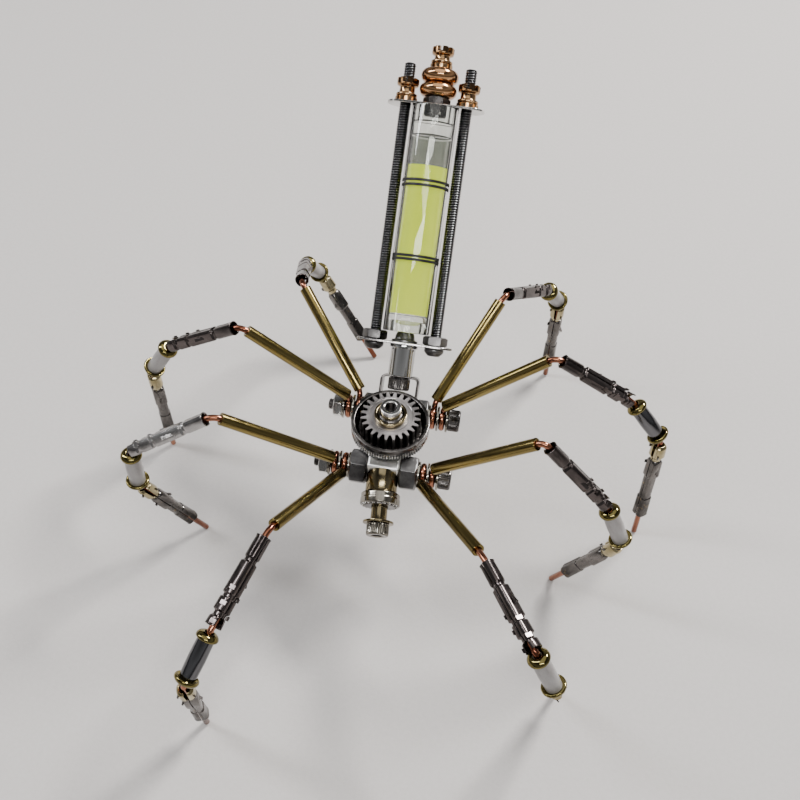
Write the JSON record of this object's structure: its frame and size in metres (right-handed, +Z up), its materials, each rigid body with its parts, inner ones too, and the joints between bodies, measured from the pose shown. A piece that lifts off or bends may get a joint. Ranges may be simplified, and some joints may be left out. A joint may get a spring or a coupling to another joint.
{
  "type": "clockwork spider desk sculpture",
  "caption": "Eight-legged spider sculpture of wire and fasteners with a spinning gear, posable legs and a level vial for its rear body.",
  "frame": {"origin": "on the surface the feet stand on, under the middle of the object's box", "axes": "+Z up, -Y towards the head, +Y towards the rear body, +X towards the spider's own left"},
  "size_m": [0.136, 0.1496, 0.0977],
  "materials": {
    "copper": "tarnished copper wire and rings",
    "antique_brass": "aged brass tube",
    "brass": "bright turned brass",
    "bright_steel": "bright steel",
    "dark_steel": "black oxide steel",
    "gunmetal": "tinned copper terminal, darkened",
    "nickel": "polished nickel plate",
    "clear_acrylic": "clear acrylic",
    "level_fluid": "yellow-green level fluid"
  },
  "bodies": {
    "hub": {"hub_block": "nickel", "axle_bolts": "dark_steel", "axle_washers": "bright_steel", "axle_nuts": "dark_steel", "gear_dish": "dark_steel", "gear_cup_washer": "brass", "gear_screw": "bright_steel", "neck_tube": "brass", "snout_sleeve": "brass", "snout_washer": "bright_steel", "snout_screw": "dark_steel"},
    "gear": {"spur_gear": "bright_steel"},
    "race": {"head_race": "bright_steel"},
    "rear_body": {"waist_clevis": "dark_steel", "waist_tube": "nickel", "body_screws": "dark_steel", "plate_nuts": "dark_steel", "lower_plate": "bright_steel", "upper_plate": "nickel", "tie_rods": "dark_steel", "vial_tube": "clear_acrylic", "vial_plugs": "clear_acrylic", "vial_liquid": "level_fluid", "finial_nut": "dark_steel", "finial_rings": "copper", "finial_post": "brass"},
    "right_nut": {"right_thumb_nut": "brass"},
    "left_nut": {"left_thumb_nut": "brass"},
    "right_rear_upper_leg": {"right_rear_leg_hip_wire": "copper", "right_rear_leg_femur_tube": "antique_brass"},
    "right_rear_lower_leg": {"right_rear_leg_shin_wire": "copper", "right_rear_leg_shin_fittings": "gunmetal"},
    "right_midrear_upper_leg": {"right_midrear_leg_hip_wire": "copper", "right_midrear_leg_femur_tube": "antique_brass"},
    "right_midrear_lower_leg": {"right_midrear_leg_shin_wire": "copper", "right_midrear_leg_shin_fittings": "gunmetal"},
    "right_midfront_upper_leg": {"right_midfront_leg_hip_wire": "copper", "right_midfront_leg_femur_tube": "antique_brass"},
    "right_midfront_lower_leg": {"right_midfront_leg_shin_wire": "copper", "right_midfront_leg_shin_fittings": "gunmetal"},
    "right_front_upper_leg": {"right_front_leg_hip_wire": "copper", "right_front_leg_femur_tube": "antique_brass"},
    "right_front_lower_leg": {"right_front_leg_shin_wire": "copper", "right_front_leg_shin_fittings": "gunmetal"},
    "left_rear_upper_leg": {"left_rear_leg_hip_wire": "copper", "left_rear_leg_femur_tube": "antique_brass"},
    "left_rear_lower_leg": {"left_rear_leg_shin_wire": "copper", "left_rear_leg_shin_fittings": "gunmetal"},
    "left_midrear_upper_leg": {"left_midrear_leg_hip_wire": "copper", "left_midrear_leg_femur_tube": "antique_brass"},
    "left_midrear_lower_leg": {"left_midrear_leg_shin_wire": "copper", "left_midrear_leg_shin_fittings": "gunmetal"},
    "left_midfront_upper_leg": {"left_midfront_leg_hip_wire": "copper", "left_midfront_leg_femur_tube": "antique_brass"},
    "left_midfront_lower_leg": {"left_midfront_leg_shin_wire": "copper", "left_midfront_leg_shin_fittings": "gunmetal"},
    "left_front_upper_leg": {"left_front_leg_hip_wire": "copper", "left_front_leg_femur_tube": "antique_brass"},
    "left_front_lower_leg": {"left_front_leg_shin_wire": "copper", "left_front_leg_shin_fittings": "gunmetal"}
  },
  "joints": [
    {"name": "gear_spin", "type": "hinge", "parent": "hub", "child": "gear", "pos_m": [-0.00084, -0.00216, 0.0403], "axis": [0, 0, 1], "continuous": true},
    {"name": "race_spin", "type": "hinge", "parent": "hub", "child": "race", "pos_m": [-0.00042, -0.01896, 0.03056], "axis": [0.0732, -0.9307, -0.3584], "continuous": true},
    {"name": "body_pitch", "type": "hinge", "parent": "hub", "child": "rear_body", "pos_m": [-0.00084, 0.00684, 0.0324], "axis": [1, 0, 0], "range_deg": [-18, 5]},
    {"name": "right_nut_spin", "type": "hinge", "parent": "rear_body", "child": "right_nut", "pos_m": [-0.00849, 0.06469, 0.08812], "axis": [0, 0.7373, 0.6756], "continuous": true},
    {"name": "left_nut_spin", "type": "hinge", "parent": "rear_body", "child": "left_nut", "pos_m": [0.00681, 0.06469, 0.08812], "axis": [0, 0.7373, 0.6756], "continuous": true},
    {"name": "right_rear_hip", "type": "hinge", "parent": "hub", "child": "right_rear_upper_leg", "pos_m": [-0.01054, 0.00684, 0.0324], "axis": [1, 0, 0], "range_deg": [-15, 15]},
    {"name": "right_rear_knee", "type": "hinge", "parent": "right_rear_upper_leg", "child": "right_rear_lower_leg", "pos_m": [-0.02963, 0.03046, 0.05098], "axis": [-0.8006, -0.431, -0.4163], "range_deg": [-15, 15]},
    {"name": "right_midrear_hip", "type": "hinge", "parent": "hub", "child": "right_midrear_upper_leg", "pos_m": [-0.01294, 0.00684, 0.0324], "axis": [1, 0, 0], "range_deg": [-12, 12]},
    {"name": "right_midrear_knee", "type": "hinge", "parent": "right_midrear_upper_leg", "child": "right_midrear_lower_leg", "pos_m": [-0.03897, 0.00631, 0.05788], "axis": [-0.0584, -0.9939, -0.0936], "range_deg": [-15, 15]},
    {"name": "right_midfront_hip", "type": "hinge", "parent": "hub", "child": "right_midfront_upper_leg", "pos_m": [-0.01294, -0.01116, 0.0324], "axis": [1, 0, 0], "range_deg": [-12, 12]},
    {"name": "right_midfront_knee", "type": "hinge", "parent": "right_midfront_upper_leg", "child": "right_midfront_lower_leg", "pos_m": [-0.03905, -0.01942, 0.05554], "axis": [0.2227, -0.9735, -0.0526], "range_deg": [-15, 15]},
    {"name": "right_front_hip", "type": "hinge", "parent": "hub", "child": "right_front_upper_leg", "pos_m": [-0.01054, -0.01116, 0.0324], "axis": [1, 0, 0], "range_deg": [-15, 15]},
    {"name": "right_front_knee", "type": "hinge", "parent": "right_front_upper_leg", "child": "right_front_lower_leg", "pos_m": [-0.02132, -0.04154, 0.0476], "axis": [0.9363, -0.344, 0.0713], "range_deg": [-15, 15]},
    {"name": "left_rear_hip", "type": "hinge", "parent": "hub", "child": "left_rear_upper_leg", "pos_m": [0.00886, 0.00684, 0.0324], "axis": [1, 0, 0], "range_deg": [-15, 15]},
    {"name": "left_rear_knee", "type": "hinge", "parent": "left_rear_upper_leg", "child": "left_rear_lower_leg", "pos_m": [0.02257, 0.02994, 0.05638], "axis": [-0.8344, 0.551, 0.0117], "range_deg": [-15, 15]},
    {"name": "left_midrear_hip", "type": "hinge", "parent": "hub", "child": "left_midrear_upper_leg", "pos_m": [0.01126, 0.00684, 0.0324], "axis": [1, 0, 0], "range_deg": [-12, 12]},
    {"name": "left_midrear_knee", "type": "hinge", "parent": "left_midrear_upper_leg", "child": "left_midrear_lower_leg", "pos_m": [0.0364, 0.00993, 0.05799], "axis": [-0.0546, 0.9967, -0.0595], "range_deg": [-15, 15]},
    {"name": "left_midfront_hip", "type": "hinge", "parent": "hub", "child": "left_midfront_upper_leg", "pos_m": [0.01126, -0.01116, 0.0324], "axis": [1, 0, 0], "range_deg": [-12, 12]},
    {"name": "left_midfront_knee", "type": "hinge", "parent": "left_midfront_upper_leg", "child": "left_midfront_lower_leg", "pos_m": [0.03541, -0.01612, 0.05883], "axis": [0.1655, 0.9862, 0.0092], "range_deg": [-15, 15]},
    {"name": "left_front_hip", "type": "hinge", "parent": "hub", "child": "left_front_upper_leg", "pos_m": [0.00886, -0.01116, 0.0324], "axis": [1, 0, 0], "range_deg": [-15, 15]},
    {"name": "left_front_knee", "type": "hinge", "parent": "left_front_upper_leg", "child": "left_front_lower_leg", "pos_m": [0.02531, -0.03924, 0.04607], "axis": [0.8372, 0.5454, -0.0416], "range_deg": [-15, 15]}
  ]
}
